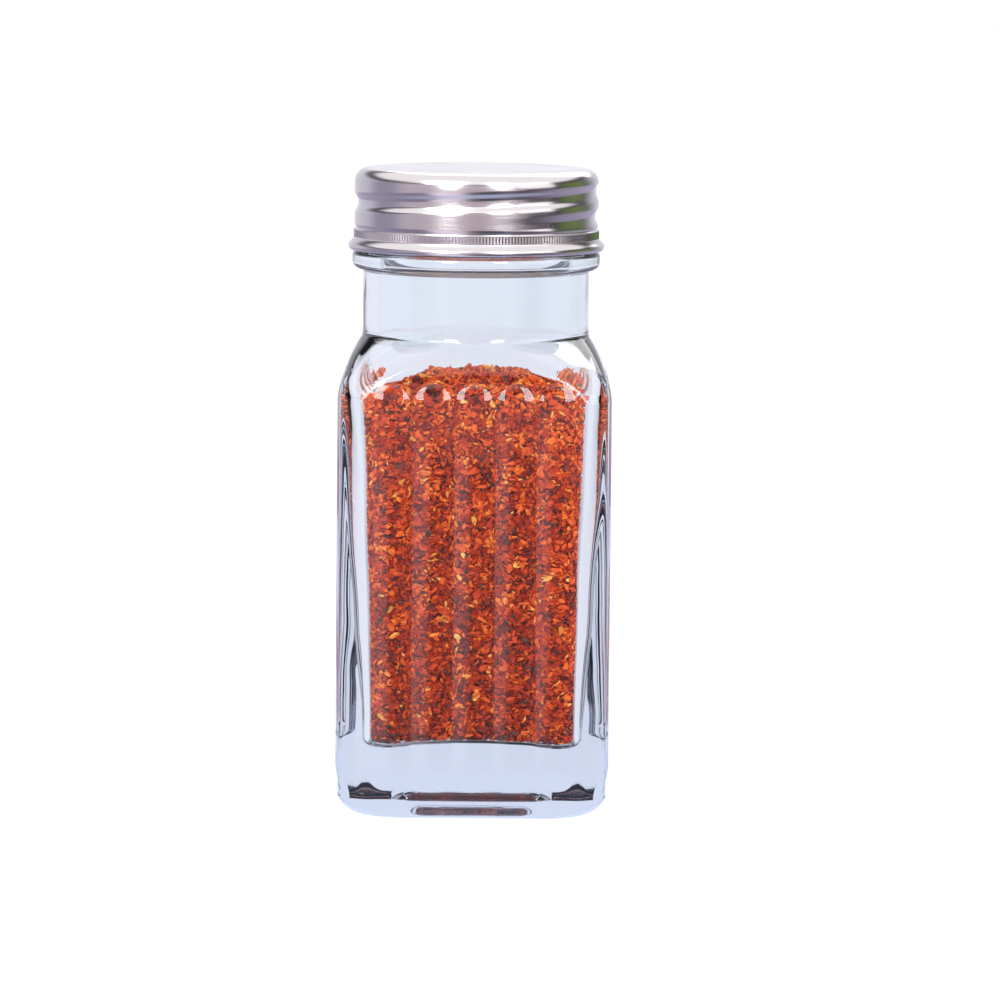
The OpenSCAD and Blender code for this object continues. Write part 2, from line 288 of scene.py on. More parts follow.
def jarColumns():
    # directions of the upright rows of vertices, closer together at the valleys between the ribs
    shares = [0.0, 0.025, 0.04, 0.055, 0.085, 0.14, 0.22, 0.35, 0.5]
    shares = shares[:-1] + [1 - s for s in reversed(shares[1:])]
    cornerSteps = 14
    angles = []
    for face in range(4):
        start = -glass["ribCount"] / 2 * ribPitch
        across = [start + (i + s) * ribPitch for i in range(glass["ribCount"]) for s in shares]
        across = [start - 0.35] + across + [-start, 0.15 - start, 0.35 - start]
        angles += [face * math.pi / 2 + math.atan2(y, glass["halfWidth"]) for y in across]
        straight = glass["halfWidth"] - glass["cornerR"]
        for step in range(cornerSteps):
            a = math.radians(90 * step / cornerSteps)
            x, y = straight + glass["cornerR"] * math.cos(a), straight + glass["cornerR"] * math.sin(a)
            angles.append(face * math.pi / 2 + math.atan2(y, x))
    return angles


def baseRings():
    # hollow under the base, a square with round corners, and the flat ring that the jar stands on
    half, corner, depth = glass["hollowHalf"], glass["hollowCornerR"], glass["hollowDepth"]
    big, foot, steep = glass["hollowRound"], glass["hollowFoot"], math.radians(90 - glass["hollowLean"])
    wall = depth - big * (1 - math.cos(steep)) - foot * (1 - math.cos(steep))
    footAt = (big + foot) * math.sin(steep) + wall / math.tan(steep)
    section = [(big * math.sin(t), depth - big * (1 - math.cos(t))) for t in np.linspace(0.02, steep, 12)]
    section += [(footAt - foot * math.sin(t), foot * (1 - math.cos(t))) for t in np.linspace(steep, 0, 5)]
    section.append((footAt + glass["guard"], 0))
    places = []
    for share in (0.04, 0.35, 0.65, 0.88, 0.98):
        places.append(lambda a, s=share: (s * squareRadius(a, half, corner), depth + 0.2 * (1 - s * s)))
    for out, z in section:
        places.append(lambda a, out=out, z=z: (squareRadius(a, half + out, corner + out), z))
    baseHalf, baseCorner = bodyOutline(0)
    places.append(lambda a: (0.985 * squareRadius(a, baseHalf, baseCorner), 0.0))
    return places


def bodyRings():
    # outside of the body up to the neck, with rows close together where the ribs begin and end
    turn = math.radians(glass["heelTurn"])
    heel = [glass["heelHeight"] * (1 - math.cos(a)) / (1 - math.cos(turn)) for a in np.linspace(0, turn, 18)]
    ribTop = glass["bodyTop"] + glass["ribRunUp"]
    step = glass["rowStep"]
    rows = heel + list(np.arange(heel[-1] + 0.15, 9.4, step)) + list(np.linspace(10, 67.6, 9)) + [68.2]
    rows += list(np.arange(68.4, ribTop + 0.4, step))
    rows += list(np.arange(ribTop + 0.6, shoulderTop - 0.3, 2 * step))
    places = [lambda a, z=z: (bodyRadius(a, z), z) for z in rows]
    for z in np.arange(shoulderTop - 0.3, shoulderTop + 1.9, 0.3):
        t = (z - glass["bodyTop"]) / glass["shoulderHeight"]
        places.append(lambda a, z=z, t=t: (smoothMax(
            squareRadius(a, *shoulderOutline(t, glass["halfWidth"], glass["cornerR"], glass["shoulderEnd"])),
            glass["neckR"], glass["neckBlend"]), z))
    return places


def neckRings():
    # neck, the bead below the lid, and the threaded end
    guard, neckR, finishR = glass["guard"], glass["neckR"], glass["finishR"]
    beadR = neckR + glass["beadOut"]
    corner, topCorner, lowCorner = glass["neckFillet"], glass["beadTopRound"], glass["beadLowRound"]
    section = [(neckR, beadLow - corner - guard)] + arc(neckR + corner, beadLow - corner, corner, 180, 100, 5)
    section += arc(beadR - lowCorner, beadLow + lowCorner, lowCorner, -80, 0, 9)
    section += arc(beadR - topCorner, beadTop - topCorner, topCorner, 0, 90, 6)
    section += [(beadR - topCorner - guard, beadTop), (finishR + corner + guard, beadTop)]
    section += arc(finishR + corner, beadTop + corner, corner, 270, 180, 5)
    places = [ringAt(r, z) for r, z in section]
    for z in np.arange(beadTop + 0.8, mouthZ - 0.6, 0.3):
        places.append(lambda a, z=z: (finishR + glass["threadRise"] * threadHeight(
            a, z, glass["threadPitch"], grooveFront + glass["threadPitch"] / 2,
            beadTop + 2 * glass["threadWidth"] - 0.6, mouthZ - 0.7 * glass["threadWidth"] + 0.5,
            glass["threadWidth"]), z))
    return places


def heelRing(a, gap):
    # a ring of the round corner between the inner floor and the walls, or of what fills it
    half = innerLow - glass["innerHeelR"] * (1 - math.sin(a)) - gap

    def place(d):
        radius = squareRadius(d, half, glass["innerCornerR"])
        return radius, glass["floor"] + glass["innerHeelR"] * (1 - math.cos(a)) + gap + floorLift(radius)
    return place


def floorRing(half, corner, gap):
    def place(d):
        radius = squareRadius(d, half, corner)
        return radius, glass["floor"] + gap + floorLift(radius)
    return place


def insideRings():
    # rim of the mouth, the bore, and the inside down to the middle of the floor
    guard, boreR = glass["guard"], glass["boreR"]
    outer, inner = glass["mouthOuterRound"], glass["mouthInnerRound"]
    boreLow = innerShoulderHigh + glass["boreBlendRise"]
    section = arc(glass["finishR"] - outer, mouthZ - outer, outer, 0, 90, 6)
    section += arc(boreR + inner, mouthZ - inner, inner, 90, 180, 5)
    section += [(boreR, z) for z in (mouthZ - inner - guard, 96, 88, boreLow + guard)]
    places = [ringAt(r, z) for r, z in section]
    for z in np.linspace(boreLow, innerShoulderLow, 26):
        t = (z - innerShoulderLow) / (innerShoulderHigh - innerShoulderLow)
        places.append(lambda a, z=z, t=t: (smoothMax(
            squareRadius(a, *shoulderOutline(t, innerHigh, glass["innerCornerR"], boreR + 0.12))
            + innerRipple(a, z), boreR, glass["neckBlend"]), z))
    heelTop = glass["floor"] + glass["innerHeelR"]
    for z in np.linspace(innerShoulderLow, heelTop + glass["floorFade"], 14)[1:]:
        places.append(lambda a, z=z: (cavityRadius(a, z), z))
    for z in (heelTop + 4, heelTop + 2.4, heelTop + 1.2, heelTop + 0.5, heelTop + guard):
        places.append(lambda a, z=z: (cavityRadius(a, z + wallLift(a, z)), z + wallLift(a, z)))
    for a in np.linspace(82, 0, 9):
        places.append(heelRing(math.radians(a), 0))
    flat = innerLow - glass["innerHeelR"]
    for share in (0.98, 0.88, 0.7, 0.5, 0.25, 0.03):
        places.append(floorRing(share * flat, share * glass["innerCornerR"], 0))
    return places


def makeGlassMaterial():
    # soda-lime glass, pressed and fire-polished: clear, with a cool tint where it is thick, and with
    # ripples about 10 mm long that bend what is seen through it
    material, tree = newMaterial("sodaLimeGlassFirePolished")
    coordinates = addNode(tree, "ShaderNodeTexCoord")
    ripple = addNode(tree, "ShaderNodeTexNoise", {
        "Vector": coordinates.outputs["Object"], "Scale": 95.0, "Detail": 1.5, "Roughness": 0.4})
    bump = addNode(tree, "ShaderNodeBump", {
        "Height": ripple.outputs["Fac"], "Strength": 0.25, "Distance": 0.5 * mm})
    surface = addNode(tree, "ShaderNodeBsdfPrincipled", {
        "Base Color": linear("#FBFEFF"), "Roughness": 0.0, "IOR": 1.52, "Transmission Weight": 1.0,
        "Normal": bump.outputs["Normal"]})
    clear = addNode(tree, "ShaderNodeBsdfTransparent", {"Color": linear("#F2F7F8")})  # lets the lamps through
    path = addNode(tree, "ShaderNodeLightPath")
    mixed = addNode(tree, "ShaderNodeMixShader", {
        0: path.outputs["Is Shadow Ray"], 1: surface.outputs["BSDF"], 2: clear.outputs["BSDF"]})
    tint = addNode(tree, "ShaderNodeVolumeAbsorption", {"Color": linear("#8DAAD8"), "Density": 7.5})
    addNode(tree, "ShaderNodeOutputMaterial", {
        "Surface": mixed.outputs["Shader"], "Volume": tint.outputs["Volume"]})
    return material


def makeJar():
    bm = bmesh.new()
    ringSurface(bm, jarColumns(), baseRings() + bodyRings() + neckRings() + insideRings())
    return meshObject("glassJar", bm, makeGlassMaterial())


jarPiece = makeJar()
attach(jarPiece, "jar")
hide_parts("glass_jar")
print("glass jar", len(jarPiece.data.polygons), "faces")


# Contents: dried chilli, crushed, with seeds; a packed core under thousands of loose crumbs

chilli = {
    "gap": 0.06, "coreGap": 0.8, "frontLine": 69.3, "heapHeight": 3.1, "heapSideways": 3.5, "seed": 41,
    "fineCount": 24000, "coarseCount": 9000, "seedCount": 70, "looseCount": 420,
    # smallest and largest radius of the bits, and how far sideways they lie
    "fineR": (0.22, 0.5), "grainR": (0.25, 0.6), "flakeR": (0.35, 0.78), "looseR": (0.7, 1.25),
    "seedR": (0.55, 0.85), "wallReach": 20.5, "topReach": 20,
    # the second number here is painted shade: it darkens the tone towards the bottom of the jar, where less
    # light reaches
    "patches": 0.22, "paintedShadeDown": 0.16,  # how far the tone drifts from place to place, and down the jar
    # dried skin and flesh, from the darkest bits to the palest
    "skin": [(0.0, "#5E3A36"), (0.06, "#5E241E"), (0.2, "#962C1C"), (0.4, "#C03C1E"), (0.62, "#DC5620"),
             (0.8, "#EA7026"), (0.93, "#F09038"), (1.0, "#F2B060")],
    "husk": [(0.0, "#C87428"), (0.5, "#E8A048"), (1.0, "#F2C070")],
}


def heapZ(x, y):
    # height of the top of the contents
    out = min(1.0, math.hypot((x - chilli["heapSideways"]) / 20.0, y / 21.0))
    crown = chilli["heapHeight"] * (1 - out ** 2)
    waves = 0.45 * math.sin(0.42 * x + 1.3) * math.cos(0.33 * y - 0.4) + 0.25 * math.sin(0.9 * x - 0.5 * y)
    lumps = 0.3 * math.sin(1.9 * x + 0.8 * y) * math.cos(1.5 * y - 0.6 * x)
    return chilli["frontLine"] + crown + waves + lumps


def contentsRings():
    gap, corner = chilli["coreGap"], glass["innerCornerR"]
    inner = innerLow - glass["innerHeelR"] - gap
    places = [floorRing(share * inner, share * corner, gap) for share in (0.04, 0.35, 0.65, 0.9)]
    places += [heelRing(math.radians(a), gap) for a in np.linspace(10, 90, 7)]
    for z in np.linspace(17, chilli["frontLine"] - gap - 0.6, 30):
        places.append(lambda d, z=z: (cavityRadius(d, z) - gap, z))
    for share in (0.97, 0.85, 0.7, 0.55, 0.4, 0.25, 0.1, 0.02):
        def top(d, s=share):
            r = s * (cavityRadius(d, chilli["frontLine"]) - gap)
            return r, heapZ(r * math.cos(d), r * math.sin(d)) - gap
        places.append(top)
    return places


def toArrays(bm):
    corners = np.array([v.co[:] for v in bm.verts])
    faces = np.array([[v.index for v in f.verts] for f in bm.faces])
    bm.free()
    return corners, faces


def makeCrumb(rng, radius, flatness):
    # one flake of skin: a jittered and flattened ball, longer than wide, 20 faces
    bm = bmesh.new()
    bmesh.ops.create_icosphere(bm, subdivisions=1, radius=radius)
    bmesh.ops.scale(bm, vec=(1.15, rng.uniform(0.35, 0.8), flatness), verts=bm.verts)
    for vert in bm.verts:
        vert.co += Vector([rng.uniform(-1, 1) * radius * k for k in (0.22, 0.22, 0.22 * flatness)])
    return toArrays(bm)


def makeFineCrumb(rng, radius, flatness):
    # a small bit with 8 faces: a four-sided cone whose base is pulled out the other way
    bm = bmesh.new()
    bmesh.ops.create_cone(bm, cap_ends=True, cap_tris=True, segments=4, radius1=radius, radius2=0,
                          depth=flatness * radius)
    bmesh.ops.remove_doubles(bm, verts=bm.verts, dist=1e-5)
    for vert in bm.verts:
        if vert.co.to_2d().length < 1e-4 and vert.co.z < 0:
            vert.co.z -= flatness * radius
        vert.co += Vector((rng.uniform(-0.3, 0.3), rng.uniform(-0.3, 0.3), rng.uniform(-0.2, 0.2))) * radius
    bmesh.ops.scale(bm, vec=(1.45, rng.uniform(0.45, 0.8), 1), verts=bm.verts)
    bmesh.ops.recalc_face_normals(bm, faces=bm.faces)
    return toArrays(bm)


def turnTo(normal, spin, tiltA, tiltB):
    # rotation that lays a flat crumb against a surface, with a spin in its plane and a small tilt
    return (Vector((0, 0, 1)).rotation_difference(normal).to_matrix()
            @ Matrix.Rotation(spin, 3, "Z") @ Matrix.Rotation(tiltA, 3, "X") @ Matrix.Rotation(tiltB, 3, "Y"))


def wallPlace(rng, depth):
    # a random place on the inner walls, from the floor to the top of the heap, and the way that it faces
    face = rng.randrange(4) * math.pi / 2
    reach = chilli["wallReach"]
    across = rng.uniform(-reach, reach)
    angle = face + math.atan2(across, reach)
    lowest = glass["floor"] + floorLift(innerLow) * 0.5
    z = rng.uniform(lowest, chilli["frontLine"] + 1.5)
    radius = cavityRadius(angle, z)
    x, y = radius * math.cos(angle), radius * math.sin(angle)
    if z > heapZ(x, y):
        return None
    step = 0.02  # a little further round, for the direction of the wall
    ahead = cavityRadius(angle + step, z)
    tangent = Vector((ahead * math.cos(angle + step) - x, ahead * math.sin(angle + step) - y, 0))
    normal = tangent.cross(Vector((0, 0, 1))).normalized()
    if normal.dot(Vector((x, y, 0))) < 0:
        normal.negate()
    place = Vector((x, y, z)) - normal * depth
    return place, normal


def topPlace(rng):
    reach = chilli["topReach"]
    x, y = rng.uniform(-reach, reach), rng.uniform(-reach, reach)
    if math.hypot(x, y) > cavityRadius(math.atan2(y, x), chilli["frontLine"]) - 0.6:
        return None
    facing = Vector((rng.uniform(-0.4, 0.4), rng.uniform(-0.4, 0.4), 1))
    return Vector((x, y, heapZ(x, y))), facing.normalized()


def floorPlace(rng):
    inner = innerLow - glass["innerHeelR"]
    x, y = rng.uniform(-inner, inner), rng.uniform(-inner, inner)
    return Vector((x, y, glass["floor"] + floorLift(math.hypot(x, y)) + 0.35)), Vector((0, 0, -1))


def scatter(name, prototypes, placed, material):
    # joins copies of the bits into one mesh; each copy keeps its own tone in a vertex attribute
    corners, faces, tones, count = [], [], [], 0
    for index, (place, turn, size, tone) in enumerate(placed):
        points, sides = prototypes[index % len(prototypes)]
        corners.append(points @ np.array(turn).T * size + np.array(place))
        faces.append(sides + count)
        tones.append(np.full(len(points), tone))
        count += len(points)
    corners, faces, tones = np.concatenate(corners), np.concatenate(faces), np.concatenate(tones)
    keepInside(corners)
    mesh = bpy.data.meshes.new(name)
    mesh.from_pydata((corners * mm).tolist(), [], faces.tolist())
    mesh.attributes.new("tone", "FLOAT", "POINT").data.foreach_set("value", tones.astype(np.float32))
    mesh.materials.append(material)
    piece = bpy.data.objects.new(name, mesh)
    bpy.context.scene.collection.objects.link(piece)
    return piece


def keepInside(corners):
    # presses crumbs flat against the glass where they would reach into it
    heel = glass["innerHeelR"]
    for point in corners:
        out, angle = math.hypot(point[0], point[1]), math.atan2(point[1], point[0])
        # how far the point is past the start of the round inner heel
        past = max(0.0, out - squareRadius(angle, innerLow - heel, glass["innerCornerR"]))
        bend = heel - math.sqrt(max(heel ** 2 - min(past, heel) ** 2, 0))
        lowest = glass["floor"] + floorLift(min(out, innerReach)) + bend + chilli["gap"]
        point[2] = max(point[2], lowest)
        limit = cavityRadius(angle, point[2]) - chilli["gap"]
        if out > limit:
            point[0] *= limit / out
            point[1] *= limit / out


def flakeMaterial(name, stops, roughness):
    # matt and saturated, mottled at about half a millimetre, with hardly any sheen
    material, tree = newMaterial(name)
    coordinates = addNode(tree, "ShaderNodeTexCoord")
    tone = addNode(tree, "ShaderNodeAttribute", attribute_name="tone")
    mottle = addNode(tree, "ShaderNodeTexNoise", {
        "Vector": coordinates.outputs["Object"], "Scale": 1800.0, "Detail": 3.0})
    shift = addNode(tree, "ShaderNodeMath", {0: mottle.outputs["Fac"], 1: 0.5}, operation="SUBTRACT")
    spread = addNode(tree, "ShaderNodeMath", {0: shift.outputs[0], 1: 0.5, 2: tone.outputs["Fac"]},
                     operation="MULTIPLY_ADD", use_clamp=True)
    ramp = addNode(tree, "ShaderNodeValToRGB", {"Fac": spread.outputs[0]})
    paintRamp(ramp, stops)
    bump = addNode(tree, "ShaderNodeBump", {
        "Height": mottle.outputs["Fac"], "Strength": 0.6, "Distance": 0.2 * mm})
    surface = addNode(tree, "ShaderNodeBsdfPrincipled", {
        "Base Color": ramp.outputs["Color"], "Roughness": roughness, "Specular IOR Level": 0.15,
        "Normal": bump.outputs["Normal"]})
    addNode(tree, "ShaderNodeOutputMaterial", {"Surface": surface.outputs["BSDF"]})
    return material


def packedMaterial(name, stops):
    # what lies deeper: grains of 0.8 mm, each with its own tone, taken only from the darker part of the ramp
    # as painted shade in the gaps behind the bits in front
    material, tree = newMaterial(name)
    coordinates = addNode(tree, "ShaderNodeTexCoord")
    grains = addNode(tree, "ShaderNodeTexVoronoi", {"Vector": coordinates.outputs["Object"], "Scale": 1250.0})
    apart = addNode(tree, "ShaderNodeSeparateColor", {"Color": grains.outputs["Color"]})
    # painted shade: the tone is scaled to 0.6, so the core only takes the darker colours of the ramp
    tone = addNode(tree, "ShaderNodeMath", {0: apart.outputs["Red"], 1: 0.6}, operation="MULTIPLY")
    ramp = addNode(tree, "ShaderNodeValToRGB", {"Fac": tone.outputs[0]})
    paintRamp(ramp, stops)
    bump = addNode(tree, "ShaderNodeBump", {
        "Height": grains.outputs["Distance"], "Strength": 0.8, "Distance": 0.4 * mm}, invert=True)
    surface = addNode(tree, "ShaderNodeBsdfPrincipled", {
        "Base Color": ramp.outputs["Color"], "Roughness": 0.9, "Specular IOR Level": 0.1,
        "Normal": bump.outputs["Normal"]})
    addNode(tree, "ShaderNodeOutputMaterial", {"Surface": surface.outputs["BSDF"]})
    return material


def patchesAndPaintedShade(place):
    # the bits aren't evenly mixed: paler and darker patches a few millimetres across; on top of that, painted
    # shade makes them darker lower down, where less light reaches
    x, y, z = place
    patch = math.sin(0.9 * x + 1.7 * math.sin(0.31 * z) + 0.8)
    patch *= math.sin(0.62 * z + 1.3 * math.sin(0.5 * x + 0.7 * y))
    slant = 1.7 * x - 1.1 * z + 2.0 * math.sin(0.4 * z + 0.9 * y)
    patch += 0.6 * math.sin(slant) * math.cos(1.3 * z + 0.8 * y)
    # painted shade: the tone is pulled darker towards the floor of the jar, where less light falls
    low = 1 - (z - glass["floor"]) / (chilli["frontLine"] - glass["floor"])
    return chilli["patches"] * patch - chilli["paintedShadeDown"] * low


def gatherBits(rng, count, sizes, tones, tilt, sink=0.5, spread=0.7, topShare=0.14, floorShare=0.08):
    # places, turns, sizes and tones of bits that lie against the glass, on the heap and on the floor; `tones`
    # is a mean and a spread, `tilt` the spread of their lean, `sink` and `spread` say how deep they lie
    found = []
    while len(found) < count:
        size = rng.uniform(*sizes)
        pick = rng.random()
        if pick < topShare:
            place = topPlace(rng)
        elif pick < topShare + floorShare:
            place = floorPlace(rng)
        else:
            place = wallPlace(rng, size * sink + rng.random() ** 2 * spread)
        if place is None:
            continue
        turn = turnTo(place[1], rng.uniform(0, math.tau), rng.gauss(0, tilt), rng.gauss(0, tilt))
        found.append((place[0], turn, size, min(1, max(0, rng.gauss(*tones) + patchesAndPaintedShade(place[0])))))
    return found


def makeContents():
    rng = random.Random(chilli["seed"])
    skin = flakeMaterial("driedChilliCrushed", chilli["skin"], 0.6)
    husk = flakeMaterial("chilliSeedDried", chilli["husk"], 0.45)
    bm = bmesh.new()
    ringSurface(bm, np.linspace(0, 2 * math.pi, 120, endpoint=False), contentsRings())
    core = meshObject("chilliCore", bm, packedMaterial("chilliPackedPaintedShade", chilli["skin"]))
    flakes = [makeCrumb(rng, 1.0, rng.uniform(0.2, 0.45)) for _ in range(16)]
    grains = [makeFineCrumb(rng, 1.0, rng.uniform(0.35, 0.8)) for _ in range(16)]
    seedShape = [makeCrumb(random.Random(5), 1.0, 0.34)]
    pieces = [core]
    bits = gatherBits(rng, chilli["fineCount"], chilli["fineR"], (0.5, 0.24), 0.7)
    pieces.append(scatter("chilliFine", grains, bits, skin))
    bits = gatherBits(rng, chilli["fineCount"], chilli["grainR"], (0.42, 0.22), 0.7, sink=0.9, spread=0.6)
    pieces.append(scatter("chilliGrains", grains, bits, skin))
    bits = gatherBits(rng, chilli["coarseCount"], chilli["flakeR"], (0.52, 0.2), 0.5, sink=0.3)
    bits += gatherBits(rng, chilli["looseCount"], chilli["looseR"], (0.58, 0.22), 0.9, topShare=1.0)
    pieces.append(scatter("chilliFlakes", flakes, bits, skin))
    bits = gatherBits(rng, chilli["seedCount"], chilli["seedR"], (0.4, 0.25), 0.3, sink=0.3)
    pieces.append(scatter("chilliSeeds", seedShape, bits, husk))
    return pieces


contents = makeContents()
for piece in contents:
    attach(piece, "jar")
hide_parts("chilli_flakes")
print("contents", [len(p.data.polygons) for p in contents])


# Lid: one drawn stainless cap, thread rolled into its side, knurled band, curled rim

lid = {
    "outerR": 20.28, "sheet": 0.4, "low": 92.8, "top": 106.4, "cornerR": 2.3,
    "curlR": 0.75, "curlCentreR": 20.55, "flare": 0.6,
    "gripHeight": 1.35, "gripOut": 0.12, "waistHeight": 0.7, "waistDepth": 0.2,
    "knurls": 240, "knurlDepth": 0.12,
    "grooveDepth": 0.6, "grooveWidth": 2.6, "grooveLow": 97.9, "grooveHigh": 103.15, "grooveFade": 0.4,
}
gripLow = lid["low"] + 2 * lid["curlR"] + lid["flare"]
gripTop = gripLow + lid["gripHeight"]
waistTop = gripTop + lid["waistHeight"]


def lidRadius(angle, z, inset):
    # radius of the side, where the groove that matches the glass thread is rolled in
    fade = lid["grooveFade"]
    groove = threadHeight(angle, z, glass["threadPitch"], grooveFront, lid["grooveLow"] - fade,
                          lid["grooveHigh"] + fade, lid["grooveWidth"])
    return lid["outerR"] - inset - lid["grooveDepth"] * groove


def knurled(z, share):
    # a ring of the grip band, pressed in at every second column
    columns = 2 * lid["knurls"]

    def place(a):
        odd = round(a / math.tau * columns) % 2
        return lid["outerR"] + lid["gripOut"] - lid["knurlDepth"] * share * odd, z
    return place


def lidRings():
    top, outer, cornerR = lid["top"], lid["outerR"], lid["cornerR"]
    places = [ringAt(r, top) for r in (0.5, 6, 12, 15.5, outer - cornerR - 0.15)]
    places += [ringAt(r, z) for r, z in arc(outer - cornerR, top - cornerR, cornerR, 88, 4, 14)]
    for z in np.arange(top - cornerR - 0.1, waistTop + 0.1, -0.2):
        places.append(lambda a, z=z: (lidRadius(a, z, 0), z))
    waistR = outer - lid["waistDepth"]
    for z, r in ((waistTop, outer - 0.04), (waistTop - 0.2, waistR + 0.05), (waistTop - 0.35, waistR),
                 (gripTop + 0.2, waistR), (gripTop + 0.1, waistR + 0.1)):
        places.append(ringAt(r, z))
    for z, share in ((gripTop + 0.03, 0.0), (gripTop - 0.12, 1.0), (gripLow + 0.12, 1.0), (gripLow, 0.0)):
        places.append(knurled(z, share))
    # the sheet flares out below the grip band and is curled in at the rim
    curlZ = lid["low"] + lid["curlR"]
    places.append(ringAt(outer + lid["gripOut"] + 0.03, gripLow - 0.12))
    for r, z in arc(lid["curlCentreR"], curlZ, lid["curlR"], 52, -205, 24):
        places.append(ringAt(r, z))
    # inside of the sheet, which goes up behind the curl
    innerR = outer - lid["sheet"]
    for z in (curlZ + 0.3, curlZ + 1.2, waistTop + 0.2):
        places.append(ringAt(innerR, z))
    for z in np.arange(waistTop + 0.4, top - cornerR, 0.25):
        places.append(lambda a, z=z: (lidRadius(a, z, lid["sheet"]), z))
    for r, z in arc(outer - cornerR, top - cornerR, cornerR - lid["sheet"], 4, 88, 8):
        places.append(ringAt(r, z))
    for r in (12, 0.5):
        places.append(ringAt(r, top - lid["sheet"]))
    return places


def makeSteel():
    # stainless sheet, deep-drawn and polished: bright, with scratches a quarter of a millimetre apart that
    # run round the side, coarser than the real ones so that they show, and smudges about 8 mm long
    material, tree = newMaterial("stainlessSteelDrawnPolished")
    coordinates = addNode(tree, "ShaderNodeTexCoord")
    stretched = addNode(tree, "ShaderNodeMapping", {
        "Vector": coordinates.outputs["Object"], "Scale": (60, 60, 4200)})
    scratches = addNode(tree, "ShaderNodeTexNoise", {
        "Vector": stretched.outputs["Vector"], "Scale": 1.0, "Detail": 3.0})
    smudge = addNode(tree, "ShaderNodeTexNoise", {
        "Vector": coordinates.outputs["Object"], "Scale": 120.0, "Detail": 2.0})
    rough = addNode(tree, "ShaderNodeMapRange", {
        "Value": smudge.outputs["Fac"], "To Min": 0.13, "To Max": 0.26})
    bump = addNode(tree, "ShaderNodeBump", {
        "Height": scratches.outputs["Fac"], "Strength": 0.12, "Distance": 0.1 * mm})
    surface = addNode(tree, "ShaderNodeBsdfPrincipled", {
        "Base Color": linear("#C9C3C6"), "Metallic": 1.0, "Roughness": rough.outputs["Result"],
        "Normal": bump.outputs["Normal"]})
    addNode(tree, "ShaderNodeOutputMaterial", {"Surface": surface.outputs["BSDF"]})
    return material


def makeLid():
    bm = bmesh.new()
    columns = 2 * lid["knurls"]
    ringSurface(bm, [math.tau * i / columns for i in range(columns)], lidRings())
    piece = meshObject("lid", bm, makeSteel())
    for face in piece.data.polygons:  # the knurls keep their edges
        height = face.center.z / mm
        face.use_smooth = not gripLow < height < gripTop or face.center.to_2d().length < lid["outerR"] * mm
    return piece


lidPiece = makeLid()
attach(lidPiece, "lid")
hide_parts("lid_shell")
print("lid", len(lidPiece.data.polygons), "faces")


# Sifter and sealing disc: plastics under the lid

plastics = {
    # injection-moulded polyethylene: slightly waxy, with a soft grain of about 1 mm
    "sifter": {"name": "polyethyleneMoulded", "slot": "sifter_plastic", "colour": "#DDDEDB",
               "roughness": 0.42, "grain": 900.0, "depth": 0.04},
    # foamed sheet: dull, with cells of about half a millimetre
    "lid_liner": {"name": "polyethyleneFoamSheet", "slot": "liner_foam", "colour": "#F1F1EE",
                  "roughness": 0.75, "grain": 2200.0, "depth": 0.12},
}


def plasticMaterial(values):
    material, tree = newMaterial(values["name"])
    coordinates = addNode(tree, "ShaderNodeTexCoord")
    cells = addNode(tree, "ShaderNodeTexNoise", {
        "Vector": coordinates.outputs["Object"], "Scale": values["grain"], "Detail": 3.0})
    bump = addNode(tree, "ShaderNodeBump", {
        "Height": cells.outputs["Fac"], "Strength": 0.4, "Distance": values["depth"] * mm})
    surface = addNode(tree, "ShaderNodeBsdfPrincipled", {
        "Base Color": linear(values["colour"]), "Roughness": values["roughness"], "Subsurface Weight": 0.2,
        "Subsurface Scale": 1 * mm, "Normal": bump.outputs["Normal"]})
    addNode(tree, "ShaderNodeOutputMaterial", {"Surface": surface.outputs["BSDF"]})
    return material


for node, values in plastics.items():
    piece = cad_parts[node]
    piece.data.materials.clear()
    piece.data.materials.append(plasticMaterial(values))
print("sifter and sealing disc dressed")


# Floor, world and lamps: a plain pale studio, with a room around it that polished surfaces mirror

